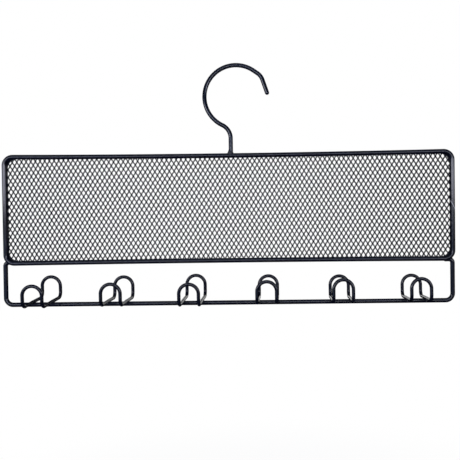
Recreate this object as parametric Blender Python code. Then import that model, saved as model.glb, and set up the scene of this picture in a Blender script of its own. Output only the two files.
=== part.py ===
"""Hanging jewelry organizer: an expanded-metal earring panel in a wire ring, a hanger hook that stands on
the ring, and a wire rail below it that carries six double necklace hooks.

The origin is the inside crown of the hanger hook, where it rests on a closet rod. X runs along the panel,
Z is up, and the front of the panel looks along -Y. All lengths are in metres.
"""
import math

import bpy
from mathutils import Matrix, Vector

MM = 0.001

# Wire diameters, and the clearance between wires that touch at a weld
FRAME_WIRE = 4.2 * MM
HANGER_WIRE = 4.0 * MM
HOOK_WIRE = 3.2 * MM
WELD_GAP = 0.3 * MM

# Panel ring: outside sizes, and how far the welded sheet has drawn its long sides in at mid length
PANEL_WIDTH = 420.0 * MM
PANEL_HEIGHT = 103.6 * MM
PANEL_CORNER = 10.1 * MM
TOP_DRAW = 1.4 * MM
BOTTOM_DRAW = 0.75 * MM

# Expanded-metal sheet: pitch across and along the diamonds, the strands between them, and the side of the
# smallest opening that is kept along the border
SHEET_THICKNESS = 1.0 * MM
SHEET_CORNER = 12.5 * MM
DIAMOND_PITCH_X = 14.0 * MM
DIAMOND_PITCH_Z = 22.4 * MM
STRAND_WIDTH = 2.0 * MM
SMALLEST_GAP = 3.0 * MM

# Hook rail: a U of frame wire whose ends turn inward behind the ring's lower corners
RAIL_OVERHANG = 1.5 * MM
RAIL_DROP = 37.1 * MM
RAIL_SHIFT = -0.9 * MM
RAIL_CORNER = 6.7 * MM
SHOULDER_RADIUS = 3.2 * MM
SHOULDER_LENGTH = 7.5 * MM
SHOULDER_LIFT = 1.2 * MM

# Double hooks: closed loops laid over the rail, spaced over the panel's width. Their runs slope down from
# the rail to both feet. Welding by hand left each one a little out of place and leaning to front or back
HOOK_WIDTH = 20.9 * MM
HOOK_DEPTH = 51.3 * MM
HOOK_HEIGHT = 22.9 * MM
HOOK_BEND = 5.6 * MM
RUN_DROP = 1.75 * MM
RUN_BEND = 30.0 * MM
HOOK_STRAYS = [stray * MM for stray in (-1.0, -0.2, 0.5, 0.8, -0.2, -0.3)]
HOOK_LEANS = [math.radians(lean) for lean in (3.3, 1.1, 3.0, -0.4, -2.6, -2.9)]
HOOK_COUNT = len(HOOK_STRAYS)

# Hanger hook: stem, neck bend, round loop, nose bend and straight tip, all in the panel's plane
HANGER_RISE = 81.8 * MM
STEM_OFFSET = 3.6 * MM
LOOP_OFFSET = 8.9 * MM
LOOP_RADIUS = 29.1 * MM
NECK_RADIUS = 13.6 * MM
LOOP_END = math.radians(55.2)
NOSE_RUN = 8.4 * MM
NOSE_RADIUS = 12.4 * MM
TIP_SLOPE = math.radians(71.2)
TIP_LENGTH = 16.7 * MM
TIP_ROUND = math.radians(80.0)
FOOT_HEIGHT = 3.0 * MM
FOOT_WIDTH = 5.0 * MM

# How finely bends, long sides and wire sections are divided
BEND_STEPS = 4
CORNER_STEPS = 5
SIDE_STEPS = 14
LOOP_STEPS = 32
ARCH_STEPS = 6
RUN_STEPS = 2
FRAME_SECTION_STEPS = 3
HOOK_SECTION_STEPS = 2
TIP_STEPS = 3
SAME_POINT = 0.03 * MM

# Places that follow from the sizes
PANEL_X = -LOOP_OFFSET
LOOP_CENTRE_Z = HANGER_WIRE / 2 - LOOP_RADIUS
PANEL_TOP = HANGER_WIRE - HANGER_RISE
PANEL_BOTTOM = PANEL_TOP - PANEL_HEIGHT
SHEET_Y = FRAME_WIRE / 2 + WELD_GAP + SHEET_THICKNESS / 2
RAIL_Y = FRAME_WIRE + WELD_GAP
RAIL_WIDTH = PANEL_WIDTH + 2 * RAIL_OVERHANG
RAIL_Z = PANEL_BOTTOM - RAIL_DROP
RAIL_X = PANEL_X + RAIL_SHIFT
SEAT_LIFT = (FRAME_WIRE + HOOK_WIRE) / 2 + WELD_GAP
HOOK_PITCH = PANEL_WIDTH / HOOK_COUNT

COATS = {
    "frame": ((0.012, 0.013, 0.018, 1.0), 0.34),
    "sheet": ((0.011, 0.012, 0.016, 1.0), 0.42),
}


def coat_material(name, finish):
    """The black baked-on coat of one piece."""
    colour, roughness = COATS[finish]
    material = bpy.data.materials.new(name)
    material.use_nodes = True
    shader = material.node_tree.nodes["Principled BSDF"]
    shader.inputs["Base Color"].default_value = colour
    shader.inputs["Roughness"].default_value = roughness
    shader.inputs["Metallic"].default_value = 0.0
    material.diffuse_color = colour
    return material


def direction(angle):
    """Unit vector in the XZ plane, counted from +X up towards +Z."""
    return Vector((math.cos(angle), 0.0, math.sin(angle)))


def filleted(corners, closed=False):
    """Points along a bent wire. corners is a list of (point, bend radius, steps)."""
    points = []
    count = len(corners)
    for index, (corner, radius, steps) in enumerate(corners):
        inside = closed or 0 < index < count - 1
        if radius <= 0 or not inside:
            points.append(corner)
            continue
        back = (corners[index - 1][0] - corner).normalized()
        ahead = (corners[(index + 1) % count][0] - corner).normalized()
        half = back.angle(ahead) / 2
        centre = corner + (back + ahead).normalized() * (radius / math.sin(half))
        start = corner + back * (radius / math.tan(half)) - centre
        turn = math.pi - 2 * half
        for step in range(steps + 1):
            angle = turn * step / steps
            points.append(centre + start * math.cos(angle) - back * (radius * math.sin(angle)))
    kept = [p for i, p in enumerate(points) if i == 0 or (p - points[i - 1]).length > SAME_POINT]
    return kept


def wire(name, points, diameter, section, collection, closed=False, radii=None):
    """A round coated wire along the points, with filled ends unless it is closed."""
    data = bpy.data.curves.new(name, "CURVE")
    data.dimensions = "3D"
    data.bevel_depth = diameter / 2
    data.bevel_resolution = section
    data.use_fill_caps = not closed
    spline = data.splines.new("POLY")
    spline.points.add(len(points) - 1)
    for index, point in enumerate(points):
        spline.points[index].co = (*point, 1.0)
        spline.points[index].radius = radii[index] if radii else 1.0
    spline.use_cyclic_u = closed
    spline.use_smooth = True
    data.materials.append(coat_material(name + "_coat", "frame"))
    piece = bpy.data.objects.new(name, data)
    collection.objects.link(piece)
    return piece


def drawn_in(x, z):
    """Height of a panel point once the long sides are drawn in. x and z count from the lower middle."""
    bulge = 1 - (2 * x / PANEL_WIDTH) ** 2
    share = z / PANEL_HEIGHT
    return z + bulge * (BOTTOM_DRAW * (1 - share) - TOP_DRAW * share)


def panel_point(x, z):
    """A point of the flat panel in the XZ plane, with the long sides drawn in."""
    return Vector((PANEL_X + x, PANEL_BOTTOM + drawn_in(x, z)))


def rounded_rectangle(inset, radius):
    """Outline of the panel, inset from its outside edge, counterclockwise from the lower right corner."""
    right = PANEL_WIDTH / 2 - inset - radius
    low, high = inset + radius, PANEL_HEIGHT - inset - radius
    outline = []
    for quarter, (x, z) in enumerate(((right, low), (right, high), (-right, high), (-right, low))):
        for step in range(CORNER_STEPS + 1):
            angle = math.pi / 2 * (quarter - 1 + step / CORNER_STEPS)
            outline.append((x + radius * math.cos(angle), z + radius * math.sin(angle)))
        if quarter in (1, 3):
            start_x, side_z = outline[-1]
            outline += [(start_x - 2 * x * step / SIDE_STEPS, side_z) for step in range(1, SIDE_STEPS)]
    return outline


def clipped(polygon, outline):
    """The part of a convex polygon inside a convex counterclockwise outline."""
    for index, (ax, az) in enumerate(outline):
        bx, bz = outline[(index + 1) % len(outline)]
        if math.hypot(bx - ax, bz - az) < SAME_POINT:
            continue
        sides = [(bx - ax) * (z - az) - (bz - az) * (x - ax) for x, z in polygon]
        kept = []
        for this, (point, side) in enumerate(zip(polygon, sides)):
            last, last_side = polygon[this - 1], sides[this - 1]
            if (side >= 0) != (last_side >= 0):
                share = last_side / (last_side - side)
                kept.append(tuple(l + share * (p - l) for l, p in zip(last, point)))
            if side >= 0:
                kept.append(point)
        polygon = kept
    return polygon


def area(polygon):
    """Area of a polygon by the shoelace rule."""
    return abs(sum(polygon[i - 1][0] * z - x * polygon[i - 1][1] for i, (x, z) in enumerate(polygon))) / 2


def diamond_gaps(border):
    """The staggered diamond openings of the sheet, cut off where they meet the border."""
    slope = math.atan2(DIAMOND_PITCH_X, DIAMOND_PITCH_Z)
    half_x = DIAMOND_PITCH_X / 2 - STRAND_WIDTH / 2 / math.cos(slope)
    half_z = DIAMOND_PITCH_Z / 2 - STRAND_WIDTH / 2 / math.sin(slope)
    columns = math.ceil(PANEL_WIDTH / DIAMOND_PITCH_X / 2) + 1
    rows = math.ceil(PANEL_HEIGHT / DIAMOND_PITCH_Z) + 1
    gaps = []
    for row in range(-rows, rows + 1):
        z = PANEL_HEIGHT / 2 + row * DIAMOND_PITCH_Z / 2
        for column in range(-columns, columns + 1):
            x = (column + (row % 2) / 2) * DIAMOND_PITCH_X
            gap = clipped([(x - half_x, z), (x, z - half_z), (x + half_x, z), (x, z + half_z)], border)
            if len(gap) > 2 and area(gap) > SMALLEST_GAP ** 2:
                gaps.append(gap)
    return gaps


def make_panel_ring(collection):
    """The closed wire round the panel."""
    centreline = rounded_rectangle(FRAME_WIRE / 2, PANEL_CORNER - FRAME_WIRE / 2)
    points = [Vector((p.x, 0.0, p.y)) for p in (panel_point(x, z) for x, z in centreline)]
    return wire("panel_ring", points, FRAME_WIRE, FRAME_SECTION_STEPS, collection, closed=True)


def make_mesh_sheet(collection):
    """The expanded-metal sheet, welded behind the ring, with its border hidden by the wire."""
    outline = rounded_rectangle(FRAME_WIRE / 2, SHEET_CORNER)
    border = rounded_rectangle(FRAME_WIRE, SHEET_CORNER - FRAME_WIRE / 2)
    data = bpy.data.curves.new("mesh_sheet", "CURVE")
    data.dimensions = "2D"
    data.fill_mode = "BOTH"
    data.extrude = SHEET_THICKNESS / 2
    for loop in [outline] + diamond_gaps(border):
        spline = data.splines.new("POLY")
        spline.points.add(len(loop) - 1)
        for index, (x, z) in enumerate(loop):
            spline.points[index].co = (*panel_point(x, z), 0.0, 1.0)
        spline.use_cyclic_u = True
    data.materials.append(coat_material("mesh_sheet_coat", "sheet"))
    sheet = bpy.data.objects.new("mesh_sheet", data)
    sheet.location = (0.0, SHEET_Y, 0.0)
    sheet.rotation_euler = (math.pi / 2, 0.0, 0.0)
    collection.objects.link(sheet)
    return sheet


def make_hook_rail(collection):
    """The U-shaped rail, with its inward shoulders behind the ring's lower wire."""
    half = (RAIL_WIDTH - FRAME_WIRE) / 2
    shoulder_z = PANEL_BOTTOM + SHOULDER_LIFT
    corners = []
    for side in (-1, 1):
        end = (side * (half - SHOULDER_LENGTH), shoulder_z, 0.0, 0)
        shoulder = (side * half, shoulder_z, SHOULDER_RADIUS, BEND_STEPS)
        corner = (side * half, RAIL_Z, RAIL_CORNER, CORNER_STEPS)
        corners += [end, shoulder, corner] if side < 0 else [corner, shoulder, end]
    points = filleted([(Vector((RAIL_X + x, RAIL_Y, z)), radius, steps) for x, z, radius, steps in corners])
    return wire("hook_rail", points, FRAME_WIRE, FRAME_SECTION_STEPS, collection)


def make_double_hook(number, collection):
    """One double hook: two runs over the rail that turn up into an arch in front and an arch behind."""
    across = (HOOK_WIDTH - HOOK_WIRE) / 2
    reach = (HOOK_DEPTH - HOOK_WIRE) / 2
    crown = HOOK_HEIGHT - HOOK_WIRE - RUN_DROP
    run_corner = RUN_BEND * (1 / math.cos(math.atan2(RUN_DROP, reach)) - 1)
    corners = []
    for end in (-1, 1):
        for side in (end, -end):
            foot = (Vector((side * across, end * reach, -RUN_DROP)), HOOK_BEND, BEND_STEPS)
            top = (Vector((side * across, end * reach, crown)), across, ARCH_STEPS)
            corners += [foot, top] if side == end else [top, foot]
        corners.append((Vector((-end * across, 0.0, run_corner)), RUN_BEND, RUN_STEPS))
    x = PANEL_X + (number - 1 - (HOOK_COUNT - 1) / 2) * HOOK_PITCH + HOOK_STRAYS[number - 1]
    place = Matrix.Translation((x, RAIL_Y, RAIL_Z)) @ Matrix.Rotation(HOOK_LEANS[number - 1], 4, "X")
    loop = filleted(corners, closed=True)
    hook = wire("double_hook_%d" % number, loop, HOOK_WIRE, HOOK_SECTION_STEPS, collection, closed=True)
    hook.matrix_world = place @ Matrix.Translation((0.0, 0.0, SEAT_LIFT))
    return hook


def make_hanger_hook(collection):
    """The hook that hangs on the rod: its stem stands on the ring's upper wire."""
    stem_x = PANEL_X + STEM_OFFSET
    foot_z = panel_point(STEM_OFFSET, PANEL_HEIGHT).y + WELD_GAP
    neck_x = stem_x - NECK_RADIUS
    neck_z = LOOP_CENTRE_Z - math.sqrt((LOOP_RADIUS + NECK_RADIUS) ** 2 - neck_x ** 2)
    neck_turn = math.atan2(LOOP_CENTRE_Z - neck_z, -neck_x)
    points = [Vector((stem_x, 0.0, foot_z)), Vector((stem_x, 0.0, foot_z + FOOT_HEIGHT))]
    radii = [FOOT_WIDTH / HANGER_WIRE, 1.0]
    for step in range(CORNER_STEPS + 1):
        angle = neck_turn * step / CORNER_STEPS
        points.append(Vector((neck_x, 0.0, neck_z)) + NECK_RADIUS * direction(angle))
    loop_start = neck_turn + math.pi
    for step in range(1, LOOP_STEPS + 1):
        angle = loop_start + (LOOP_END - loop_start) * step / LOOP_STEPS
        points.append(Vector((0.0, 0.0, LOOP_CENTRE_Z)) + LOOP_RADIUS * direction(angle))
    nose_start = points[-1]
    along = direction(LOOP_END - math.pi / 2)
    down = direction(-TIP_SLOPE)
    nose = nose_start + along * NOSE_RUN
    tip = nose + down * TIP_LENGTH
    points += filleted([(nose_start, 0.0, 0), (nose, NOSE_RADIUS, BEND_STEPS), (tip, 0.0, 0)])[1:]
    radii += [1.0] * (len(points) - len(radii))
    for step in range(1, TIP_STEPS + 1):
        angle = TIP_ROUND * step / TIP_STEPS
        points.append(tip + down * (HANGER_WIRE / 2 * math.sin(angle)))
        radii.append(math.cos(angle))
    return wire("hanger_hook", points, HANGER_WIRE, FRAME_SECTION_STEPS, collection, radii=radii)


def main():
    for old in list(bpy.data.objects):
        bpy.data.objects.remove(old, do_unlink=True)
    collection = bpy.data.collections.new("hanging_jewelry_organizer")
    bpy.context.scene.collection.children.link(collection)
    make_hanger_hook(collection)
    make_panel_ring(collection)
    make_mesh_sheet(collection)
    make_hook_rail(collection)
    for number in range(1, HOOK_COUNT + 1):
        make_double_hook(number, collection)


main()
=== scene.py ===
# %% [markdown]
# # A hanging jewelry organizer
#
# The real object is wire goods: a ring of steel wire with a sheet of expanded metal behind it for earrings,
# a hanger hook welded on top, and a rail below with six double hooks for necklaces. All of it is coated
# black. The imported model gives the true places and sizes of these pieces. This lesson dresses it: smooth
# wires instead of faceted ones, the fine sheet instead of its coarse net, welds where pieces meet, and a
# coat that looks real.

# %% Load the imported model
import math

import bmesh
import bpy
import numpy as np
from mathutils import Matrix, Vector


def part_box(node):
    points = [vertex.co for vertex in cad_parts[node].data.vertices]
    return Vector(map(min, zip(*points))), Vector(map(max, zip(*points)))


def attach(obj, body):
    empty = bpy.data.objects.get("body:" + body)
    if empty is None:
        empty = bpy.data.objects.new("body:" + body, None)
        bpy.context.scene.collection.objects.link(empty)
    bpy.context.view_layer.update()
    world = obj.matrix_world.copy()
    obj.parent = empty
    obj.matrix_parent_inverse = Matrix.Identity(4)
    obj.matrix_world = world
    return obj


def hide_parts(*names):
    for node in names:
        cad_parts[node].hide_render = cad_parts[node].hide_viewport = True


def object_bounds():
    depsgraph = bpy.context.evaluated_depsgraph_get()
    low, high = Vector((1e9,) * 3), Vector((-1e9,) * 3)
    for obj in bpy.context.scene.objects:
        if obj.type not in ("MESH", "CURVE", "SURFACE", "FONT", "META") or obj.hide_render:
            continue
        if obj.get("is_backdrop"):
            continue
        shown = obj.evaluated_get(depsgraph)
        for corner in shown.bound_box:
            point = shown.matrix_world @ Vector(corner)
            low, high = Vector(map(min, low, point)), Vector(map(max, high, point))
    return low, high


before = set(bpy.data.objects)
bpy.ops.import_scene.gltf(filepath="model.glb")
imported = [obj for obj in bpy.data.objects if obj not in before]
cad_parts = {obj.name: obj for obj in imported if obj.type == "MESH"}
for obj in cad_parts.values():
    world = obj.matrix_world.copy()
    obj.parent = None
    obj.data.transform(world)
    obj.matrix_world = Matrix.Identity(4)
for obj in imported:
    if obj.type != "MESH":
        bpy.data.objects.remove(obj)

cad_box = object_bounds()
print("packed nodes:", ", ".join(sorted(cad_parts)))

# %% [markdown]
# ## The camera
#
# The photograph was cropped, so its optical axis isn't in the middle of the picture. A long lens aimed at
# the middle would show the double hooks from the wrong side, and so the camera keeps its true place and the
# crop becomes a small lens shift. Focal length, place and turn were fitted to wire crossings in the
# photograph. Blender counts in metres, so small sizes are written as so many MM.

# %% Place the camera
MM = 0.001
PHOTO_SIDE = 460
FOCAL_PX = 640.0
OPTICAL_AXIS_PX = (278.69, 210.41)
SENSOR = 36.0
NEAR_CLIP = 10 * MM
CAMERA_PLACE = Vector((45.85, -592.98, -124.17)) * MM
YAW, PITCH, ROLL = (math.radians(angle) for angle in (0.73, -0.83, -0.73))


def camera_axes(yaw, pitch, roll):
    """Right, up and forward of a camera that looks along +Y when all three angles are zero."""
    forward = Vector((-math.sin(yaw) * math.cos(pitch), math.cos(yaw) * math.cos(pitch), math.sin(pitch)))
    sideways = Vector((math.cos(yaw), math.sin(yaw), 0.0))
    right = Matrix.Rotation(-roll, 3, forward) @ sideways
    return right, right.cross(forward), forward


def put(name, data):
    """A new object in the scene."""
    thing = bpy.data.objects.new(name, data)
    bpy.context.scene.collection.objects.link(thing)
    return thing


lens = bpy.data.cameras.new("photo_camera")
lens.sensor_fit = "HORIZONTAL"
lens.sensor_width = SENSOR
lens.lens = FOCAL_PX / PHOTO_SIDE * SENSOR
lens.shift_x = 0.5 - OPTICAL_AXIS_PX[0] / PHOTO_SIDE
lens.shift_y = OPTICAL_AXIS_PX[1] / PHOTO_SIDE - 0.5
lens.clip_start = NEAR_CLIP
right, up, forward = camera_axes(YAW, PITCH, ROLL)
turn = Matrix((right, up, -forward)).transposed()
camera = put("photo_camera", lens)
camera.matrix_world = Matrix.Translation(CAMERA_PLACE) @ turn.to_4x4()
bpy.context.scene.camera = camera
print("lens %.1f mm, shift %.3f %.3f" % (lens.lens, lens.shift_x, lens.shift_y))

# %% [markdown]
# ## Stage and light
#
# The photograph's background is pure white. More light on the object would bleach its black coat, so the
# white comes from the world and the floor themselves: a Light Path node tells rays from the eye, and those
# that the coat mirrors, from the rays that light the object. A few helpers keep all node trees short.

# %% Helpers for shader nodes


def add(tree, kind, links=(), **settings):
    """A node with its settings. links pairs its input sockets with outputs or plain values."""
    node = tree.nodes.new("ShaderNode" + kind)
    for key, value in settings.items():
        setattr(node, key, value)
    for label, source in links:
        socket = node.inputs[label]
        if isinstance(source, bpy.types.NodeSocket):
            tree.links.new(source, socket)
        else:
            socket.default_value = source
    return node


def maths(tree, operation, *values):
    """The result of a Math node. Each value is an output or a plain number."""
    return add(tree, "Math", enumerate(values), operation=operation).outputs[0]


def ramp(tree, value, span=(0.0, 1.0), into=(0.0, 1.0), eased=True):
    """A value led from one span into another, straight or eased at both ends, and held beyond them."""
    ends = zip(("From Min", "From Max", "To Min", "To Max"), (*span, *into))
    kind = "SMOOTHSTEP" if eased else "LINEAR"
    return add(tree, "MapRange", [("Value", value), *ends], interpolation_type=kind).outputs["Result"]


print("shader nodes of Blender", bpy.app.version_string)

# %% White background, lit gently
WHITE, BLACK = (1.0, 1.0, 1.0, 1.0), (0.0, 0.0, 0.0, 1.0)
AMBIENT = 0.42
bpy.context.scene.view_settings.view_transform = "Standard"


def seen_directly(tree):
    """1 for rays from the camera and for those mirrored or let through, 0 for rays that only carry light."""
    path = add(tree, "LightPath").outputs
    mirrored = maths(tree, "MAXIMUM", path["Is Camera Ray"], path["Is Glossy Ray"])
    return maths(tree, "MAXIMUM", mirrored, path["Is Transmission Ray"])


world = bpy.data.worlds.new("white_studio")
bpy.context.scene.world = world
world.use_nodes = True
tree = world.node_tree
glow = tree.nodes["Background"]
glow.inputs["Color"].default_value = WHITE
tree.links.new(ramp(tree, seen_directly(tree), into=(AMBIENT, 1.0), eased=False), glow.inputs["Strength"])
print("ambient light %.2f" % AMBIENT)

# %% [markdown]
# The floor mixes a paper-white surface with plain white light. Below the object it stays partly a real
# surface and keeps the shadow. Further out, where the lamps don't reach, the share of light grows to all of
# it, so there is no grey horizon.

# %% The floor
FLOOR_DROP = 300 * MM
FLOOR_SIDE = 12.0


def finished(shape, name):
    """The mesh of a bmesh shape, which is freed."""
    mesh = bpy.data.meshes.new(name)
    shape.to_mesh(mesh)
    shape.free()
    return mesh


shape = bmesh.new()
bmesh.ops.create_grid(shape, x_segments=1, y_segments=1, size=FLOOR_SIDE / 2)
floor = put("floor", finished(shape, "floor"))
floor.location.z = cad_box[0][2] - FLOOR_DROP
floor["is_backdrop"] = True
print("floor at %.0f mm" % (floor.location.z / MM))

# %% The floor's paper
PAPER_WHITE = (0.98, 0.98, 0.98, 1.0)
PAPER_ROUGHNESS = 0.9
FLOOR_GLOW = 0.75
SHADOW_REACH = (0.25, 0.6)


def new_material(name, shine=0.0):
    """A material, its node tree and its shader. shine is 0 for matt cloth and 0.5 for a common varnish."""
    material = bpy.data.materials.new(name)
    material.use_nodes = True
    shader = material.node_tree.nodes["Principled BSDF"]
    shader.inputs["Specular IOR Level"].default_value = shine
    return material, material.node_tree, shader


paper, tree, surface = new_material("floor_paper")
surface.inputs["Base Color"].default_value = PAPER_WHITE
surface.inputs["Roughness"].default_value = PAPER_ROUGHNESS
light = add(tree, "Emission")
away = add(tree, "VectorMath", [(0, add(tree, "TexCoord").outputs["Object"])], operation="LENGTH")
fade = ramp(tree, away.outputs["Value"], SHADOW_REACH, (FLOOR_GLOW, 1.0))
share = maths(tree, "MULTIPLY", seen_directly(tree), fade)
mix = add(tree, "MixShader", [("Fac", share), (1, surface.outputs["BSDF"]), (2, light.outputs["Emission"])])
tree.links.new(mix.outputs["Shader"], tree.nodes["Material Output"].inputs["Surface"])
floor.data.materials.append(paper)
print("floor glow %.2f to 1 between %.2f and %.2f m" % (FLOOR_GLOW, *SHADOW_REACH))

# %% [markdown]
# Round black wire shows little but reflections, so the lamps draw it. In the photograph level wires have one
# thin line along their middle, and upright wires are bright in their middle, but only above the camera's
# level. Both come from long low strips of light on either side of the camera, just above its level. Weaker
# blue strips right above them draw the hanger's stem, and weak fills further up its loop. Weak fills below,
# bluer on the left, draw the rail's legs. The two warm lamps, overhead and behind, don't show in the coat.

# %% Softboxes
TARGET = Vector((0.0, 0.0, CAMERA_PLACE.z))
WARM_WHITE, COOL_WHITE = (1.0, 0.99, 0.98), (0.85, 0.86, 1.0)
PALE_BLUE, SKY_BLUE = (0.62, 0.72, 1.0), (0.45, 0.62, 1.0)
# name, azimuth, distance, height of the middle, tilt down, width, height, brightness, colour, and whether
# the coat mirrors it, in degrees and metres
SOFTBOXES = [
    ("strip_left", -32, 0.70, 0.046, 0, 0.90, 0.092, 8.5, COOL_WHITE, True),
    ("strip_right", 32, 0.70, 0.046, 0, 0.90, 0.092, 7.0, COOL_WHITE, True),
    ("blue_strip_left", -32, 0.70, 0.150, 0, 0.90, 0.11, 1.1, SKY_BLUE, True),
    ("blue_strip_right", 32, 0.70, 0.150, 0, 0.90, 0.11, 0.9, SKY_BLUE, True),
    ("low_fill_left", -42, 1.10, -0.195, 0, 0.90, 0.34, 1.0, SKY_BLUE, True),
    ("low_fill_right", 30, 1.20, -0.195, 0, 0.90, 0.34, 0.4, COOL_WHITE, True),
    ("high_fill", 0, 1.30, 0.900, 35, 1.20, 0.80, 0.6, PALE_BLUE, True),
    ("top_fill", 0, 0.30, 1.300, 78, 1.60, 0.90, 0.25, PALE_BLUE, True),
    ("lamp_top", 0, 0.05, 1.200, 90, 1.30, 1.30, 1.4, WARM_WHITE, False),
    ("lamp_back", 168, 1.40, 0.600, 20, 0.70, 0.60, 2.0, WARM_WHITE, False),
]


def softbox(name, azimuth, distance, middle, tilt, width, height, brightness, colour, mirrored):
    """A rectangular lamp that faces the object. Azimuth 0 is in front and 90 to the right, in degrees."""
    azimuth, tilt = math.radians(azimuth), math.radians(tilt)
    out = Vector((math.sin(azimuth), -math.cos(azimuth), 0.0))
    facing = -out * math.cos(tilt) - Vector((0.0, 0.0, math.sin(tilt)))
    data = bpy.data.lights.new(name, "AREA")
    data.shape = "RECTANGLE"
    data.size, data.size_y = width, height
    data.energy = brightness * math.pi * width * height
    data.color = colour
    lamp = put(name, data)
    place = TARGET + out * distance + Vector((0.0, 0.0, middle))
    lamp.matrix_world = Matrix.Translation(place) @ facing.to_track_quat("-Z", "Y").to_matrix().to_4x4()
    lamp.visible_camera = False
    lamp.visible_glossy = mirrored


for box in SOFTBOXES:
    softbox(*box)
print("%d softboxes" % len(SOFTBOXES))

# %% [markdown]
# A photographer keeps black gloss black by hanging black cloth wherever the object would mirror something
# pale. Here too the room in front of the object is dark: cloths in front, at the sides, above and on the
# floor. They only show in reflections. Behind the object the white backdrop stays open, and the coat's rims
# mirror it.

# %% Black cloths
CLOTH_SIDE = 1.9
CLOTH_FRONT = -2.3
CLOTH_BACK = 6.0
CLOTH_TOP = 1.6
CLOTH_LIFT = 2 * MM

cloth_black, tree, surface = new_material("cloth_black")
surface.inputs["Base Color"].default_value = BLACK
shape = bmesh.new()
bmesh.ops.create_cube(shape, size=1.0)
bmesh.ops.delete(shape, geom=[face for face in shape.faces if face.normal.y > 0.5], context="FACES_ONLY")
size = Vector((2 * CLOTH_SIDE, CLOTH_BACK - CLOTH_FRONT, CLOTH_TOP - floor.location.z - CLOTH_LIFT))
bmesh.ops.scale(shape, vec=size, verts=shape.verts)
middle = Vector((0.0, (CLOTH_BACK + CLOTH_FRONT) / 2, (CLOTH_TOP + floor.location.z + CLOTH_LIFT) / 2))
bmesh.ops.translate(shape, vec=middle, verts=shape.verts)
cloths = put("black_cloths", finished(shape, "black_cloths"))
cloths.data.materials.append(cloth_black)
cloths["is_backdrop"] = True
for ray in ("camera", "diffuse", "transmission", "volume_scatter", "shadow"):
    setattr(cloths, "visible_" + ray, False)
print("cloths %.1f m wide" % (2 * CLOTH_SIDE))

# %% [markdown]
# ## The black coat
#
# The coat is powder, baked on. Close up it has a fine pebbled skin, its tone and gloss drift a little with
# its thickness, dust settles on what faces up, and it polishes where the closet rod rubs it. Each of these
# is a node group, so that every material of the object can use it with its own values.
#
# The skin is left by the grains of powder as they melt together. It is far finer than any mesh, so it is a
# bump made of noise, and a finer noise on top keeps it from looking like rows of equal dots. Scales of noise
# are in waves per metre.

# %% Pebbled skin
WIRE_GRAIN = 1300.0
FINER_GRAIN = 3.7
FINE_SHARE = 0.1


def new_group(name, inputs, outputs):
    """An empty shader node group. inputs and outputs are lists of (label, kind, default value)."""
    group = bpy.data.node_groups.new(name, "ShaderNodeTree")
    for label, kind, value in inputs:
        socket = group.interface.new_socket(label, in_out="INPUT", socket_type="NodeSocket" + kind)
        socket.default_value = value
    for label, kind in outputs:
        group.interface.new_socket(label, in_out="OUTPUT", socket_type="NodeSocket" + kind)
    return group, group.nodes.new("NodeGroupInput"), group.nodes.new("NodeGroupOutput")


def noise(tree, scale, detail=2.0, roughness=0.5):
    """A noise value in the object's own coordinates."""
    where = add(tree, "TexCoord").outputs["Object"]
    links = [("Vector", where), ("Scale", scale), ("Detail", detail), ("Roughness", roughness)]
    return add(tree, "TexNoise", links).outputs["Fac"]


orange_peel, given, made = new_group("orange_peel", [("Grain", "Float", WIRE_GRAIN)], [("Height", "Float")])
skin = noise(orange_peel, given.outputs["Grain"])
fine = noise(orange_peel, maths(orange_peel, "MULTIPLY", given.outputs["Grain"], FINER_GRAIN), detail=1.0)
both = maths(orange_peel, "MULTIPLY_ADD", fine, FINE_SHARE, skin)
orange_peel.links.new(both, made.inputs["Height"])
print("group", orange_peel.name)

# %% [markdown]
# Powder melts to an uneven layer, a little paler and duller where it is thin. One slow noise drives both
# tone and gloss, because both follow the thickness, and a faster one speckles the gloss.

# %% Tone and gloss that drift with the coat's thickness
# both tones are a little blue: painted blue light, on a coat that is a neutral black
THICK_BLACK, THIN_BLACK = (0.0014, 0.0019, 0.0050, 1.0), (0.0034, 0.0042, 0.0100, 1.0)
WIRE_GLOSS = (0.14, 0.20)
TONE_WAVES, SPECKLE_WAVES = 85.0, 900.0
DRIFT_SPAN = (0.3, 0.7)
DRIFT_SHARE, SPECKLE_SHARE = 0.6, 0.4


def blend(tree, share, first, second, kind="FLOAT"):
    """A mix of two values, or of two colours when kind is RGBA."""
    links = [("Factor", share), ("A", first), ("B", second)]
    return add(tree, "Mix", links, data_type=kind).outputs["Result"]


coat_tone, given, made = new_group(
    "coat_tone",
    [("Thick", "Color", THICK_BLACK), ("Thin", "Color", THIN_BLACK),
     ("Gloss Low", "Float", WIRE_GLOSS[0]), ("Gloss High", "Float", WIRE_GLOSS[1])],
    [("Color", "Color"), ("Roughness", "Float")])
drift = ramp(coat_tone, noise(coat_tone, TONE_WAVES, detail=3.0), DRIFT_SPAN)
tone = blend(coat_tone, drift, given.outputs["Thick"], given.outputs["Thin"], "RGBA")
spread = maths(coat_tone, "MULTIPLY", drift, DRIFT_SHARE)
amount = maths(coat_tone, "MULTIPLY_ADD", noise(coat_tone, SPECKLE_WAVES), SPECKLE_SHARE, spread)
gloss_range = (given.outputs["Gloss Low"], given.outputs["Gloss High"])
gloss = ramp(coat_tone, amount, into=gloss_range, eased=False)
coat_tone.links.new(tone, made.inputs["Color"])
coat_tone.links.new(gloss, made.inputs["Roughness"])
print("group", coat_tone.name)

# %% [markdown]
# Dust lies on what faces up. The surface's normal tells where that is, and a fine noise breaks the dust up
# into grains.

# %% Settled dust
WIRE_DUST = 0.03
DUST_WAVES = 2600.0
DUST_SLOPE, DUST_GRAINS = (0.35, 1.0), (0.42, 0.68)

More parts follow.
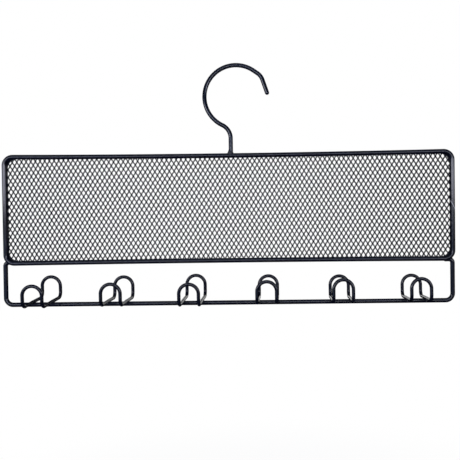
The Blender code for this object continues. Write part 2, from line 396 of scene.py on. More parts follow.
settled_dust, given, made = new_group("settled_dust", [("Amount", "Float", WIRE_DUST)], [("Mask", "Float")])
facing = add(settled_dust, "SeparateXYZ", [("Vector", add(settled_dust, "NewGeometry").outputs["Normal"])])
upward = ramp(settled_dust, facing.outputs["Z"], DUST_SLOPE)
grains = ramp(settled_dust, noise(settled_dust, DUST_WAVES, detail=3.0), DUST_GRAINS, eased=False)
lying = maths(settled_dust, "MULTIPLY", upward, grains)
mask = maths(settled_dust, "MULTIPLY", lying, given.outputs["Amount"])
settled_dust.links.new(mask, made.inputs["Mask"])
print("group", settled_dust.name)

# %% [markdown]
# The rod rubs the crown of the hanger's loop and polishes the coat there in fine scuffs. The mask fades with
# the distance from that place.

# %% Polish where something rubs
ROD_SEAT = (0.0, 0.0, 0.0)
ROD_RUB = 14 * MM
RUB_FADE, SCUFF_GRAINS = (1.0, 0.25), (0.35, 0.6)
SCUFF_WAVES = 1500.0

rub_inputs = [("Centre", "Vector", ROD_SEAT), ("Reach", "Float", ROD_RUB)]
rubbed, given, made = new_group("rubbed", rub_inputs, [("Mask", "Float")])
places = [(0, add(rubbed, "TexCoord").outputs["Object"]), (1, given.outputs["Centre"])]
apart = add(rubbed, "VectorMath", places, operation="DISTANCE").outputs["Value"]
close = ramp(rubbed, maths(rubbed, "DIVIDE", apart, given.outputs["Reach"]), RUB_FADE)
scuffs = ramp(rubbed, noise(rubbed, SCUFF_WAVES, detail=4.0, roughness=0.65), SCUFF_GRAINS, eased=False)
rubbed.links.new(maths(rubbed, "MULTIPLY", close, scuffs), made.inputs["Mask"])
print("group", rubbed.name)

# %% [markdown]
# One function puts the groups together. How much the coat shines is set on the shader itself: at the usual
# level of a varnish, but much lower on the sheet, where the powder lies thin and matt on narrow strands.

# %% Mix a coat
# the hanger's two tones are bluer than the other wires': painted blue light that the top of the object
# catches from above, on the same black coat
THICK_BLUE_LIT, THIN_BLUE_LIT = (0.0012, 0.0022, 0.0062, 1.0), (0.0030, 0.0050, 0.0135, 1.0)
# two pale steel tones for the joint's ring: a painted highlight
PAINTED_HIGHLIGHT_DIM, PAINTED_HIGHLIGHT_BRIGHT = (0.20, 0.21, 0.23, 1.0), (0.38, 0.39, 0.42, 1.0)
DUST_COLOUR = (0.20, 0.19, 0.175, 1.0)
DUST_ROUGHNESS = 0.8
ROD_POLISH = 0.08


def coated(name, tones=(THICK_BLACK, THIN_BLACK), gloss=WIRE_GLOSS, grain=WIRE_GRAIN, relief=0.007,
           dust=WIRE_DUST, rub=None, shine=0.5):
    """A coated surface that drifts between two tones.

    relief is the height of the skin in millimetres, and rub is (place, reach, roughness when polished).
    """
    material, tree, shader = new_material(name, shine)
    tone_links = [("Thick", tones[0]), ("Thin", tones[1]), ("Gloss Low", gloss[0]), ("Gloss High", gloss[1])]
    coat = add(tree, "Group", tone_links, node_tree=coat_tone).outputs
    lying = add(tree, "Group", [("Amount", dust)], node_tree=settled_dust).outputs["Mask"]
    roughness = coat["Roughness"]
    if rub:
        worn = add(tree, "Group", [("Centre", rub[0]), ("Reach", rub[1])], node_tree=rubbed).outputs["Mask"]
        roughness = blend(tree, worn, roughness, rub[2])
    peel = add(tree, "Group", [("Grain", grain)], node_tree=orange_peel).outputs["Height"]
    skin = add(tree, "Bump", [("Height", peel), ("Distance", relief * MM), ("Strength", 1.0)])
    tree.links.new(blend(tree, lying, coat["Color"], DUST_COLOUR, "RGBA"), shader.inputs["Base Color"])
    tree.links.new(blend(tree, lying, roughness, DUST_ROUGHNESS), shader.inputs["Roughness"])
    tree.links.new(skin.outputs["Normal"], shader.inputs["Normal"])
    return material


wire_coat = coated("wire_coat")
rail_coat = coated("rail_coat", dust=0.04)
hook_coat = coated("hook_coat", gloss=(0.13, 0.19))
# the hanger's coat takes the bluer tones: painted blue light
hanger_coat = coated("hanger_coat", (THICK_BLUE_LIT, THIN_BLUE_LIT), rub=(ROD_SEAT, ROD_RUB, ROD_POLISH))
weld_coat = coated("weld_coat", gloss=(0.46, 0.60), grain=900.0, relief=0.03)
sheet_coat = coated("sheet_coat", gloss=(0.24, 0.36), grain=2200.0, relief=0.02, shine=0.08)
# the joint's coat paints a highlight: pale steel colour on a slanted ring round the upright
joint_painted_highlight_coat = coated("joint_painted_highlight_coat", (PAINTED_HIGHLIGHT_DIM, PAINTED_HIGHLIGHT_BRIGHT), gloss=(0.40, 0.55), grain=3000.0, relief=0.03,
                    dust=0.0)
print("coats:", ", ".join(m.name for m in bpy.data.materials if m.name.endswith("_coat")))

# %% [markdown]
# ## Wires
#
# Each wire is one length of round steel, bent over pins. A curve with a round bevel is the natural way to
# make it, because the curve is the wire's middle line. The bends are true arcs between straight runs, with a
# point every few degrees, and the result is turned into a mesh.

# %% Bend a wire
ARC_STEP = math.radians(3.0)
BEVEL_STEPS = 10
SHARP = math.radians(40.0)
SAME_POINT = 0.02 * MM


def arc(centre, start, side, turn):
    """Points of an arc. start and side are the vectors from the centre at 0 and at 90 degrees."""
    steps = max(2, math.ceil(turn / ARC_STEP))
    angles = [turn * step / steps for step in range(steps + 1)]
    return [centre + start * math.cos(angle) + side * math.sin(angle) for angle in angles]


def bent(corners, closed=False):
    """The middle line of a wire bent at corners, a list of (point, bend radius)."""
    points = []
    for index, (corner, radius) in enumerate(corners):
        if not radius:
            points.append(corner)
            continue
        back = (corners[index - 1][0] - corner).normalized()
        ahead = (corners[(index + 1) % len(corners)][0] - corner).normalized()
        half = back.angle(ahead) / 2
        centre = corner + (back + ahead).normalized() * (radius / math.sin(half))
        start = corner + back * (radius / math.tan(half)) - centre
        points += arc(centre, start, -back * radius, math.pi - 2 * half)
    kept = points[:1] + [b for a, b in zip(points, points[1:]) if (b - a).length > SAME_POINT]
    if closed and (kept[0] - kept[-1]).length < SAME_POINT:
        kept.pop()
    return kept


def smooth(mesh, sharp=SHARP):
    """Smooth shading with sharp edges where faces meet at more than an angle."""
    mesh.shade_smooth()
    mesh.set_sharp_from_angle(angle=sharp)


def wire(name, points, diameter, closed=False, radii=None):
    """The mesh of a round wire along its middle line."""
    data = bpy.data.curves.new(name + "_line", "CURVE")
    data.dimensions = "3D"
    data.bevel_depth = diameter / 2
    data.bevel_resolution = BEVEL_STEPS
    data.use_fill_caps = not closed
    spline = data.splines.new("POLY")
    spline.points.add(len(points) - 1)
    for index, point in enumerate(points):
        spline.points[index].co = (*point, 1.0)
        spline.points[index].radius = radii[index] if radii else 1.0
    spline.use_cyclic_u = closed
    line = bpy.data.objects.new(name + "_line", data)
    mesh = bpy.data.meshes.new_from_object(line)
    mesh.name = name
    bpy.data.objects.remove(line)
    bpy.data.curves.remove(data)
    smooth(mesh)
    return mesh


def dress(mesh, coat, slot, *nodes):
    """Makes a mesh a piece of the organizer: coated, riding on its body, with the CAD nodes that it stands
    for hidden.
    """
    mesh.materials.clear()
    mesh.materials.append(coat)
    piece = put(mesh.name, mesh)
    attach(piece, "root")
    if nodes:
        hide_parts(*nodes)


print("a point every %.0f degrees, %d sides" % (math.degrees(ARC_STEP), 4 + 2 * BEVEL_STEPS))

# %% [markdown]
# ## The panel's ring
#
# The ring is a rounded rectangle. Welding the sheet behind it has drawn its long sides in a little at mid
# length, so they are very flat curves and not straight lines. The wire's two ends meet in the right upright,
# in an oblique butt joint. It was ground nearly flat. Round it runs a fine pale line of steel colour: a
# painted highlight, for the slanted line of light where the upright's reflection ends.

# %% Shape the ring
ring_low, ring_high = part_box("panel_ring")
FRAME_WIRE = ring_high.y - ring_low.y
PANEL_WIDTH = 420.0 * MM
PANEL_HEIGHT = 103.6 * MM
PANEL_TOP = -77.8 * MM
PANEL_CORNER = 10.1 * MM
TOP_DRAW = 1.4 * MM
BOTTOM_DRAW = 0.75 * MM
SIDE_STEPS = 56
CORNER_STEPS = 30
panel_x = (ring_low.x + ring_high.x) / 2
panel_bottom = PANEL_TOP - PANEL_HEIGHT


def bulge(x):
    """1 at mid length of the panel and 0 at its ends."""
    return 1 - (2 * x / PANEL_WIDTH) ** 2


def panel_point(x, z, y=0.0):
    """A point of the flat panel, with its long sides drawn in. x and z count from its lower middle."""
    share = z / PANEL_HEIGHT
    drawn = bulge(x) * (BOTTOM_DRAW * (1 - share) - TOP_DRAW * share)
    return Vector((panel_x + x, y, panel_bottom + z + drawn))


def rounded_outline(inset, radius):
    """A rounded rectangle inside the panel's outside edge, counterclockwise from the lower right corner."""
    wide = PANEL_WIDTH / 2 - inset - radius
    low, high = inset + radius, PANEL_HEIGHT - inset - radius
    outline = []
    for quarter, (x, z) in enumerate(((wide, low), (wide, high), (-wide, high), (-wide, low))):
        for step in range(CORNER_STEPS + 1):
            angle = math.pi / 2 * (quarter - 1 + step / CORNER_STEPS)
            outline.append((x + radius * math.cos(angle), z + radius * math.sin(angle)))
        if quarter in (1, 3):
            side_z = outline[-1][1]
            outline += [(x - 2 * x * step / SIDE_STEPS, side_z) for step in range(1, SIDE_STEPS)]
    return outline


middle_line = [panel_point(x, z) for x, z in rounded_outline(FRAME_WIRE / 2, PANEL_CORNER - FRAME_WIRE / 2)]
dress(wire("ring_wire", middle_line, FRAME_WIRE, closed=True), wire_coat, "wire_coat", "panel_ring")
print("ring wire %.2f mm, %d points" % (FRAME_WIRE / MM, len(middle_line)))

# %% The ring's butt joint
# the pale ring at the joint is a painted highlight: steel colour in the slanted line where the upright's
# reflection ends
JOINT_Z = -129.9 * MM
JOINT_SLANT = -2.2
JOINT_BEAD = 0.6 * MM
JOINT_PROUD = 0.1 * MM
JOINT_SIDES = 72


def circle(sides):
    """Cosine and sine of equal steps round a circle."""
    angles = [2 * math.pi * side / sides for side in range(sides)]
    return [(math.cos(angle), math.sin(angle)) for angle in angles]


joint_x = panel_x + PANEL_WIDTH / 2 - FRAME_WIRE / 2
joint_radius = (FRAME_WIRE - JOINT_BEAD) / 2 + JOINT_PROUD
seam = []
for cosine, sine in circle(JOINT_SIDES):
    out = joint_radius * cosine
    seam.append(Vector((joint_x + out, joint_radius * sine, JOINT_Z + JOINT_SLANT * out)))
dress(wire("ring_joint_highlight", seam, JOINT_BEAD, closed=True), joint_painted_highlight_coat, "wire_coat")
print("butt joint at z %.0f mm" % (JOINT_Z / MM))

# %% [markdown]
# ## The hanger hook
#
# One wire again: a stem, a bend at the neck, a round loop that goes over the closet rod, and a straight tip
# with a rounded end. The origin of the model is the inside crown of this loop, where it rests on the rod.

# %% Shape the hanger hook
hanger_low, hanger_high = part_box("hanger_hook")
HANGER_WIRE = 4.0 * MM
STEM_OFFSET = 3.6 * MM
LOOP_RADIUS = 29.1 * MM
NECK_RADIUS = 13.6 * MM
LOOP_END = math.radians(55.2)
NOSE_RUN = 8.4 * MM
NOSE_RADIUS = 12.4 * MM
TIP_SLOPE = math.radians(71.2)
TIP_LENGTH = 16.7 * MM
TIP_ROUND = math.radians(85.0)
TIP_STEPS = 12
FOOT_RUN = 3.0 * MM
FOOT_GAP = 0.3 * MM


def level(angle):
    """Unit vector in the panel's plane, counted from +X up towards +Z."""
    return Vector((math.cos(angle), 0.0, math.sin(angle)))


loop_centre = Vector((0.0, 0.0, hanger_high.z - HANGER_WIRE / 2 - LOOP_RADIUS))
stem_foot = panel_point(STEM_OFFSET, PANEL_HEIGHT) + Vector((0.0, 0.0, FOOT_GAP))
neck_x = stem_foot.x - NECK_RADIUS
neck_z = loop_centre.z - math.sqrt((LOOP_RADIUS + NECK_RADIUS) ** 2 - neck_x ** 2)
neck = Vector((neck_x, 0.0, neck_z))
neck_turn = math.atan2(loop_centre.z - neck_z, -neck_x)
loop_turn = neck_turn + math.pi - LOOP_END
line = [stem_foot, stem_foot + Vector((0.0, 0.0, FOOT_RUN))]
line += arc(neck, level(0) * NECK_RADIUS, level(math.pi / 2) * NECK_RADIUS, neck_turn)
loop_start = level(neck_turn + math.pi) * LOOP_RADIUS
line += arc(loop_centre, loop_start, level(neck_turn + math.pi / 2) * LOOP_RADIUS, loop_turn)[1:]
nose = line[-1] + level(LOOP_END - math.pi / 2) * NOSE_RUN
tip = nose + level(-TIP_SLOPE) * TIP_LENGTH
line += bent([(line[-1], 0), (nose, NOSE_RADIUS), (tip, 0)])[1:]
radii = [1.0] * len(line)
for step in range(1, TIP_STEPS + 1):
    angle = TIP_ROUND * step / TIP_STEPS
    line.append(tip + level(-TIP_SLOPE) * (HANGER_WIRE / 2 * math.sin(angle)))
    radii.append(math.cos(angle))
dress(wire("hanger_wire", line, HANGER_WIRE, radii=radii), hanger_coat, "wire_coat", "hanger_hook")
print("hanger hook %.0f mm high" % ((hanger_high.z - hanger_low.z) / MM))

# %% [markdown]
# ## The rail
#
# A wide U of the same wire as the ring. Its ends turn inward behind the ring's lower corners, where they are
# welded on. The cut ends keep the small chamfer that the shears leave once they are coated. The left
# shoulder was welded on a little higher than the right one.

# %% Shape the rail
rail_low, rail_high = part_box("hook_rail")
RAIL_DROP = 37.1 * MM
RAIL_CORNER = 6.7 * MM
SHOULDER_RADIUS = 3.2 * MM
SHOULDER_LENGTH = 7.5 * MM
SHOULDER_LIFT = {-1: 2.6 * MM, 1: 1.2 * MM}
END_CHAMFER = 0.35 * MM
rail_x, rail_y = (rail_low.x + rail_high.x) / 2, (rail_low.y + rail_high.y) / 2
rail_z = panel_bottom - RAIL_DROP
half_rail = (rail_high.x - rail_low.x - FRAME_WIRE) / 2

corners = []
for side in (-1, 1):
    shoulder_z = panel_bottom + SHOULDER_LIFT[side]
    end = (Vector((rail_x + side * (half_rail - SHOULDER_LENGTH), rail_y, shoulder_z)), 0)
    inner = (end[0] + Vector((side * END_CHAMFER, 0.0, 0.0)), 0)
    shoulder = (Vector((rail_x + side * half_rail, rail_y, shoulder_z)), SHOULDER_RADIUS)
    corner = (Vector((rail_x + side * half_rail, rail_y, rail_z)), RAIL_CORNER)
    corners += [end, inner, shoulder, corner] if side < 0 else [corner, shoulder, inner, end]
line = bent(corners)
chamfer = 1 - 2 * END_CHAMFER / FRAME_WIRE
radii = [chamfer] + [1.0] * (len(line) - 2) + [chamfer]
dress(wire("rail_wire", line, FRAME_WIRE, radii=radii), rail_coat, "wire_coat", "hook_rail")
print("rail %.0f mm wide" % ((rail_high.x - rail_low.x) / MM))

# %% [markdown]
# ## The double hooks
# Each is one closed loop laid over the rail: two nearly straight runs that turn up into an arch in front and
# an arch behind. Crossing wires are welded by pressing them together while they glow, so the runs are sunk
# into the rail. Imported solids can't share space, so there the runs pass over the rail in a shallow ridge,
# and only here are they sunk. Hand welding left every loop with its own lean. The imported model keeps it:
# the tops of the two arches of each packed hook lie at different heights.

# %% Shape the double hooks
HOOK_WIRE = 3.2 * MM
HOOK_WIDTH = 20.9 * MM
HOOK_DEPTH = 51.3 * MM
HOOK_HEIGHT = 22.9 * MM
HOOK_BEND = 5.6 * MM
RUN_DROP = 1.75 * MM
RUN_RIDGE = 0.3 * MM
RUN_BEND = 30.0 * MM
SEAT_GAP = 0.3 * MM
SEAT_LIFT = (FRAME_WIRE + HOOK_WIRE) / 2 + SEAT_GAP
TOP_BAND = 0.01 * MM

half_wide, half_deep = (HOOK_WIDTH - HOOK_WIRE) / 2, (HOOK_DEPTH - HOOK_WIRE) / 2
crown = HOOK_HEIGHT - HOOK_WIRE - RUN_DROP
run_top = RUN_RIDGE - RUN_DROP
run_corner = run_top + RUN_BEND * (1 / math.cos(math.atan2(RUN_RIDGE, half_deep)) - 1)
corners = []
for end in (-1, 1):
    for side in (end, -end):
        foot = (Vector((side * half_wide, end * half_deep, -RUN_DROP)), HOOK_BEND)
        top = (Vector((side * half_wide, end * half_deep, crown)), half_wide)
        corners += [foot, top] if side == end else [top, foot]
    corners.append((Vector((-end * half_wide, 0.0, run_corner)), RUN_BEND))
hook_line = bent(corners, closed=True)


def hook_place(node):
    """The matrix that puts a double hook over the rail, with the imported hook's place and lean."""
    points = np.array([vertex.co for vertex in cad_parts[node].data.vertices])
    tops = []
    for half in (points[points[:, 1] < rail_y], points[points[:, 1] > rail_y]):
        high = half[:, 2].max()
        tops.append((half[half[:, 2] > high - TOP_BAND][:, 1].mean(), high))
    (front_y, front_z), (back_y, back_z) = tops
    lean = math.atan2(back_z - front_z, back_y - front_y)
    x = (points[:, 0].min() + points[:, 0].max()) / 2
    place = Matrix.Translation((x, rail_y, rail_z)) @ Matrix.Rotation(lean, 4, "X")
    return place @ Matrix.Translation((0.0, 0.0, SEAT_LIFT)), lean


hook_nodes = sorted(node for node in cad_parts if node.startswith("double_hook"))
hook_places = []
for number, node in enumerate(hook_nodes, 1):
    place, lean = hook_place(node)
    hook_places.append(place)
    mesh = wire("hook_wire_%d" % number, hook_line, HOOK_WIRE, closed=True)
    mesh.transform(place)
    dress(mesh, hook_coat, "wire_coat", node)
    print("%s leans %.1f degrees" % (node, math.degrees(lean)))

# %% [markdown]
# ## The expanded sheet
#
# Expanded metal is a sheet that was slit in staggered rows and pulled open: every strand zigzags down the
# sheet and shares a bond with its left and its right neighbour in turn. Pulling turns the strands out of the
# sheet's plane like slats. So the sheet is built strand by strand, and neighbours share the corner points of
# their bonds, which keeps it one closed surface. Pitch and unevenness were measured in the photograph.
# Thickness and turn were chosen so that both ends of the mesh darken as they do there.

# %% Measure the sheet
sheet_low, sheet_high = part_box("mesh_sheet")
FIRST_OPENING = Vector((-7.6, -128.62)) * MM
STEP_ACROSS = Vector((2.2137, 0.0418)) * MM
STEP_DOWN = Vector((0.0758, -3.4703)) * MM
SHEET_BOW = 1.16 * MM
PULL_ERROR = 0.8 * MM
PULL_WAVE = 270.0 * MM
PULL_PHASE = math.radians(16.7)
STRAND_WIDTH = 1.63 * MM
STRAND_THICKNESS = 0.50 * MM
STRAND_TURN = math.radians(10.0)
BOND_WIDTH = 1.80 * MM
BOND_LENGTH = 1.30 * MM

sheet_y = (sheet_low.y + sheet_high.y) / 2


def lattice(column, row):
    """The place of a column and row of the openings. Both may be fractions."""
    along = STEP_ACROSS.x * column
    uneven = PULL_ERROR * math.cos(2 * math.pi * along / PULL_WAVE + PULL_PHASE)
    sag = SHEET_BOW * (2 * along / PANEL_WIDTH) ** 2
    x = FIRST_OPENING.x + along + STEP_DOWN.x * row + uneven
    z = FIRST_OPENING.y + STEP_ACROSS.y * column + STEP_DOWN.y * row - sag
    return x, z


def inside(x, z, inset, radius):
    """How deep a point lies inside a rounded outline of the drawn-in panel. Negative is outside."""
    x = x - panel_x
    arch = bulge(x)
    low, high = BOTTOM_DRAW * arch, PANEL_HEIGHT - TOP_DRAW * arch
    flat = (z - panel_bottom - low) / (high - low) * PANEL_HEIGHT
    out_x = abs(x) - (PANEL_WIDTH / 2 - inset - radius)
    out_z = abs(flat - PANEL_HEIGHT / 2) - (PANEL_HEIGHT / 2 - inset - radius)
    return radius - math.hypot(max(out_x, 0.0), max(out_z, 0.0)) - min(max(out_x, out_z), 0.0)


print("openings %.2f x %.2f mm" % (2 * STEP_ACROSS.x / MM, -2 * STEP_DOWN.y / MM))

# %% Draw the strands
BORDER_CORNER = 8.6 * MM
EDGE_COVER = 0.6 * MM
rows = math.ceil(PANEL_HEIGHT / 2 / abs(STEP_DOWN.y)) + 2
columns = math.ceil(PANEL_WIDTH / 2 / STEP_ACROSS.x) + 2
bond = BOND_LENGTH / 2 / abs(STEP_DOWN.y)


def strand_samples(strand):
    """One strand from top to bottom as (row, bend, x, z, half width).

    bend is 1 at a bond on its right, -1 at a bond on its left and 0 half way between them.
    """
    for step in range(-rows, rows + 1):
        bend = 1 if (strand + step) % 2 == 0 else -1
        for row in (step - bond, step + bond):
            x, z = lattice(strand + (bend + 1) / 2, row)
            yield row, bend, x - bend * BOND_WIDTH / 4, z, BOND_WIDTH / 4
        yield step + 0.5, 0, *lattice(strand + 0.5, step + 0.5), STRAND_WIDTH / 2


def strand_run(strand):
    """The samples of a strand inside the sheet, marked whole, with its ends run on to the sheet's edge."""
    cover = (FRAME_WIRE / 2 + EDGE_COVER, BORDER_CORNER)
    samples = list(strand_samples(strand))
    depth = [inside(x, z, *cover) for _, _, x, z, _ in samples]
    kept = [index for index, deep in enumerate(depth) if deep > 0]
    if len(kept) < 2:
        return []
    first, last = kept[0], kept[-1]
    run = [(*sample, True) for sample in samples[first:last + 1]]
    for place, inner, outer in ((0, first, first - 1), (len(run) + 1, last, last + 1)):
        if 0 <= outer < len(samples):
            share = depth[inner] / (depth[inner] - depth[outer])
            cut = [a + share * (b - a) for a, b in zip(samples[inner], samples[outer])]
            run.insert(place, (*cut, False))
    return run


runs = {strand: strand_run(strand) for strand in range(-columns, columns + 1)}
runs = {strand: run for strand, run in runs.items() if run}
print("%d strands, %d samples" % (len(runs), sum(map(len, runs.values()))))

# %% Knit the strands into one mesh
# the corners of a strand's section as (side, face), and the side that the wall after each corner is on
SECTION = ((-1, -1), (1, -1), (1, 1), (-1, 1))
WALLS = (0, 1, 0, -1)
ROW_DIGITS = 4
SHEET_SHARP = math.radians(30.0)
slat = math.tan(STRAND_TURN)
points, faces, shared = [], [], {}


def corner_point(key, place):
    """The index of a point. A corner of a bond, which two strands share, is made once."""
    if key not in shared:
        points.append(place)
        if key is None:
            return len(points) - 1
        shared[key] = len(points) - 1
    return shared[key]


def whole_rows(run):
    """The rows of the samples that lie whole inside the sheet."""
    return {round(row, ROW_DIGITS) for row, _, _, _, _, regular in run if regular}


whole = {strand: whole_rows(run) for strand, run in runs.items()}


def bonded(strand, row, side):
    """Whether a strand's bond at this row, on this side, lies whole inside the sheet on both strands."""
    both = {round(round(row) + end, ROW_DIGITS) for end in (-bond, bond)}
    return both <= whole[strand] and both <= whole.get(strand + side, set())


for strand, run in runs.items():
    sections = []
    for row, bend, x, z, half, regular in run:
        bond_side = bend if regular else 0
        section = []
        for side, face in SECTION:
            shares = side == bond_side and bonded(strand, row, side)
            key = (strand + (side + 1) // 2, round(row, ROW_DIGITS), face) if shares else None
            y = sheet_y + slat * half * (bend - side) + face * STRAND_THICKNESS / 2
            section.append(corner_point(key, (x + side * half, y, z)))
        sections.append((section, row, bond_side))
    for (above, row, bond_side), (below, _, next_side) in zip(sections, sections[1:]):
        for i, wall in enumerate(WALLS):
            if not (wall and wall == bond_side == next_side and bonded(strand, row, wall)):
                j = (i + 1) % len(WALLS)
                faces.append((above[i], below[i], below[j], above[j]))
    faces.append(tuple(sections[0][0]))
    faces.append(tuple(reversed(sections[-1][0])))
mesh = bpy.data.meshes.new("expanded_sheet")
mesh.from_pydata(points, [], faces)
mesh.validate()
smooth(mesh, SHEET_SHARP)
dress(mesh, sheet_coat, "mesh_coat", "mesh_sheet")
print("expanded sheet: %d points, %d faces" % (len(points), len(faces)))

# %% [markdown]
# The sheet's cut border is pressed flat behind the ring. From the front it only shows as a dark filling in
# the ring's corners. From behind it is the frame in which the strands end. It is a loft: a closed surface
# through rings of points, and so are all the welds.

# %% Lofts between rings of points


def loft(rings, loop=False):
    """Points and faces of a closed surface through rings with equal numbers of points, ends filled."""
    count = len(rings[0])
    points = [tuple(point) for ring in rings for point in ring]
    faces = []
    for index in range(len(rings) if loop else len(rings) - 1):
        low, high = index * count, (index + 1) % len(rings) * count
        for i in range(count):
            j = (i + 1) % count
            faces.append((low + i, low + j, high + j, high + i))
    if not loop:
        faces.append(tuple(range(count - 1, -1, -1)))
        faces.append(tuple(range(len(points) - count, len(points))))
    return points, faces


def joined(parts, name):
    """One mesh of several lofts, with all faces turned outward."""
    shape = bmesh.new()
    for points, faces in parts:
        corners = [shape.verts.new(point) for point in points]
        for face in faces:
            shape.faces.new([corners[i] for i in face])
    bmesh.ops.recalc_face_normals(shape, faces=shape.faces)
    mesh = finished(shape, name)
    smooth(mesh)
    return mesh


square = [(0, 0), (1, 0), (1, 1), (0, 1)]
box = loft([[(*place, z) for place in square] for z in (0, 1)])
print("a loft between two squares has %d faces" % len(box[1]))

# %% The sheet's pressed border
BORDER_EDGE = 0.12 * MM
BORDER_SHY = 0.02 * MM

outer = rounded_outline(FRAME_WIRE / 2, PANEL_CORNER - FRAME_WIRE / 2)
inner = rounded_outline(FRAME_WIRE, BORDER_CORNER)
width = FRAME_WIRE / 2
border_half = (sheet_high.y - sheet_low.y) / 2 - BORDER_SHY
flat_half = border_half - BORDER_EDGE
section = [(BORDER_EDGE, -border_half), (0.0, -flat_half), (0.0, flat_half), (BORDER_EDGE, border_half)]
section += [(width - inward, y) for inward, y in reversed(section)]
rings = []
for (outer_x, outer_z), (inner_x, inner_z) in zip(outer, inner):
    step_x, step_z = (inner_x - outer_x) / width, (inner_z - outer_z) / width
    rings.append([panel_point(outer_x + step_x * s, outer_z + step_z * s, sheet_y + y) for s, y in section])
dress(joined([loft(rings, loop=True)], "sheet_border"), sheet_coat, "mesh_coat")
print("border %.1f mm wide" % (width / MM))

# %% [markdown]
# ## Welds
#
# Every joint of wire goods is a small weld, and the coat covers it, duller there than on drawn wire. Where
# wires cross, a nugget with a waist bridges the gap. It is a loft between a ring of points on one wire and a
# ring on the other, drawn in between them by a third ring.

# %% Nuggets where the hooks cross the rail
WELD_SIDES = 24
WELD_LEVELS = 8
SINK = 0.06 * MM
NUGGET_FOOT = (2.3 * MM, 1.85 * MM)
NUGGET_WAIST = (1.75 * MM, 1.8 * MM)
NUGGET_TOP = (HOOK_WIRE / 2 - SINK, 2.4 * MM)
WAIST_DROP, TOP_DROP = 0.75 * MM, 0.1 * MM


def weld(lower, waist, upper):
    """A weld between two rings of points, drawn towards a third."""
    rings = []
    for step in range(WELD_LEVELS + 1):
        share = step / WELD_LEVELS
        rings.append([low * (1 - share) ** 2 + mid * 2 * share * (1 - share) + high * share ** 2
                      for low, mid, high in zip(lower, waist, upper)])
    return loft(rings)


def on_wire(radius, offset):
    """Height of a wire's surface above its middle line, at an offset across it."""
    return math.sqrt(max(radius ** 2 - offset ** 2, 0.0))


lower, waist, upper = [], [], []
for cosine, sine in circle(WELD_SIDES):
    x, y = NUGGET_FOOT[0] * cosine, NUGGET_FOOT[1] * sine
    lower.append(Vector((x, y, on_wire(FRAME_WIRE / 2, y) - SEAT_LIFT - SINK)))
    waist.append(Vector((NUGGET_WAIST[0] * cosine, NUGGET_WAIST[1] * sine, run_top - WAIST_DROP)))
    upper.append(Vector((NUGGET_TOP[0] * cosine, NUGGET_TOP[1] * sine, run_top - TOP_DROP)))
nuggets = []
for place in hook_places:
    for side in (-1, 1):
        at = place @ Matrix.Translation((side * half_wide, 0.0, 0.0))
        nuggets.append(weld(*([at @ point for point in ring] for ring in (lower, waist, upper))))
dress(joined(nuggets, "hook_welds"), weld_coat, "wire_coat")
print("%d crossing welds" % len(nuggets))

# %% [markdown]
# The hanger's stem stands on the ring. Its weld runs out further on the left and climbs the stem there as a
# fillet. Three rings of points make it too: one on the ring's wire, a waist, and one round the stem.

# %% The weld at the hanger's foot
FOOT_LEFT, FOOT_RIGHT, FOOT_DEEP = 3.5 * MM, 2.5 * MM, 1.96 * MM
RISE_LEFT, RISE_RIGHT = 3.6 * MM, 1.1 * MM
FILLET_LEFT, FILLET_RIGHT, FILLET_UP = 0.75 * MM, 0.15 * MM, 0.5 * MM

ring_axis = stem_foot.z - FOOT_GAP - FRAME_WIRE / 2
hold = HANGER_WIRE / 2 - SINK
lower, waist, upper = [], [], []
for cosine, sine in circle(WELD_SIDES):
    lean = (1 - cosine) / 2
    foot = FOOT_RIGHT + (FOOT_LEFT - FOOT_RIGHT) * lean
    rise = RISE_RIGHT + (RISE_LEFT - RISE_RIGHT) * lean
    bend = HANGER_WIRE / 2 + FILLET_RIGHT + (FILLET_LEFT - FILLET_RIGHT) * lean ** 2
    y = FOOT_DEEP * sine
    lower.append(Vector((stem_foot.x + foot * cosine, y, ring_axis + on_wire(FRAME_WIRE / 2, y) - SINK)))
    waist.append(Vector((stem_foot.x + bend * cosine, bend * sine, stem_foot.z + FILLET_UP)))
    upper.append(Vector((stem_foot.x + hold * cosine, hold * sine, stem_foot.z + rise)))
dress(joined([weld(lower, waist, upper)], "foot_weld"), weld_coat, "wire_coat")
print("foot weld rises %.1f mm" % (RISE_LEFT / MM))

# %% [markdown]
# At its shoulders the rail lies right behind the ring, and the weld fills the gap between the two wires. Its
# section follows both of them and swells at mid length. The ring's corner curves up along the weld, so the
# section is worked out afresh at every step.

# %% The welds at the rail's shoulders
SEAM_START, SEAM_LENGTH = -0.5 * MM, 4.8 * MM
SEAM_STEPS = 16
SEAM_SPREAD = math.radians(42.0)
SEAM_WAIST = 0.9 * MM
SEAM_THIN = 0.1
FILLET_POINTS = 7


def ring_middle(x):
    """The ring's lower middle line at x, round its corners too, and the cosine of its slope there."""
    radius = PANEL_CORNER - FRAME_WIRE / 2
    beyond = max(abs(x - panel_x) - (PANEL_WIDTH / 2 - PANEL_CORNER), 0.0)
    cosine = math.sqrt(1 - (beyond / radius) ** 2)
    return panel_point(x - panel_x, FRAME_WIRE / 2 + radius * (1 - cosine)), cosine


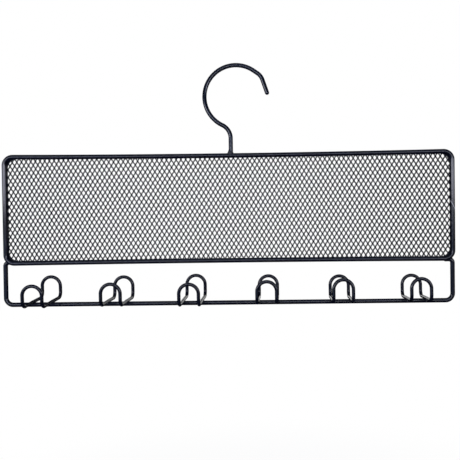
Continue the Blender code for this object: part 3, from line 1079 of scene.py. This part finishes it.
def seam_weld(side):
    """A weld in the groove between the ring's lower corner and the end of the rail behind it."""
    radius = FRAME_WIRE / 2 - SINK
    rings = []
    for step in range(SEAM_STEPS + 1):
        share = step / SEAM_STEPS
        x = rail_x + side * (half_rail - SHOULDER_LENGTH + SEAM_START + share * SEAM_LENGTH)
        one, slope = ring_middle(x)
        other = Vector((x, rail_y, panel_bottom + SHOULDER_LIFT[side]))
        gap = (other - one).normalized()
        up = Vector((1.0, 0.0, 0.0)).cross(gap)
        swell = max(math.sqrt(1 - (2 * share - 1) ** 2), SEAM_THIN)
        section = []
        for start, turn, stretch in ((one, 1, 1 / slope), (other, -1, 1.0)):
            for i in range(FILLET_POINTS):
                angle = SEAM_SPREAD * swell * (2 * i / (FILLET_POINTS - 1) - 1)
                out = gap * math.cos(angle) + up * (math.sin(angle) * stretch)
                section.append(start + out * (turn * radius))
            section.append((one + other) / 2 + up * (turn * SEAM_WAIST * swell))
        rings.append(section)
    return loft(rings)


dress(joined([seam_weld(-1), seam_weld(1)], "shoulder_welds"), weld_coat, "wire_coat")
print("2 shoulder welds, %.0f mm long" % (SEAM_LENGTH / MM))

# %% [markdown]
# Spot welds hold the sheet to the ring. The electrode leaves each as a low button with a dimple in its
# middle, which shows from behind. A profile turned about the button's middle makes it, and the buttons
# follow the border at an even pitch.

# %% Spot welds behind the sheet's border
SPOT_PITCH = 34.0 * MM
SPOT_RADIUS = 1.0 * MM
SPOT_PROUD = 0.22 * MM
SPOT_SIDES = 16
SPOT_INSET = 0.75 * FRAME_WIRE
# shares of the radius and of the height, from the foot to the middle
SPOT_PROFILE = ((1.0, -0.1), (1.0, 0.0), (0.86, 0.55), (0.6, 0.9), (0.35, 1.0), (0.12, 0.8))

track = [panel_point(x, z, sheet_y + border_half) for x, z in rounded_outline(SPOT_INSET, BORDER_CORNER)]
lengths = np.cumsum([0.0] + [(b - a).length for a, b in zip(track, track[1:] + track[:1])])
spot_count = round(lengths[-1] / SPOT_PITCH)
spots = []
for index in range(spot_count):
    at = lengths[-1] * (index + 0.5) / spot_count
    before = int(np.searchsorted(lengths, at)) - 1
    share = (at - lengths[before]) / (lengths[before + 1] - lengths[before])
    middle = track[before].lerp(track[(before + 1) % len(track)], share)
    rings = []
    for radius, proud in SPOT_PROFILE:
        rings.append([middle + Vector((cosine * radius * SPOT_RADIUS, proud * SPOT_PROUD,
                                       sine * radius * SPOT_RADIUS)) for cosine, sine in circle(SPOT_SIDES)])
    spots.append(loft(rings))
dress(joined(spots, "sheet_welds"), weld_coat, "mesh_coat")
print("%d spot welds" % len(spots))

# %% [markdown]
# ## The size
#
# Both boxes, the imported model's and the dressed one's, are printed. The dressed model has
# to stay inside the imported one's box.

# %% Print both boxes
dressed_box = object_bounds()
for label, box in (("packed", cad_box), ("dressed", dressed_box)):
    print(label, ["%.2f..%.2f" % (low / MM, high / MM) for low, high in zip(*box)])
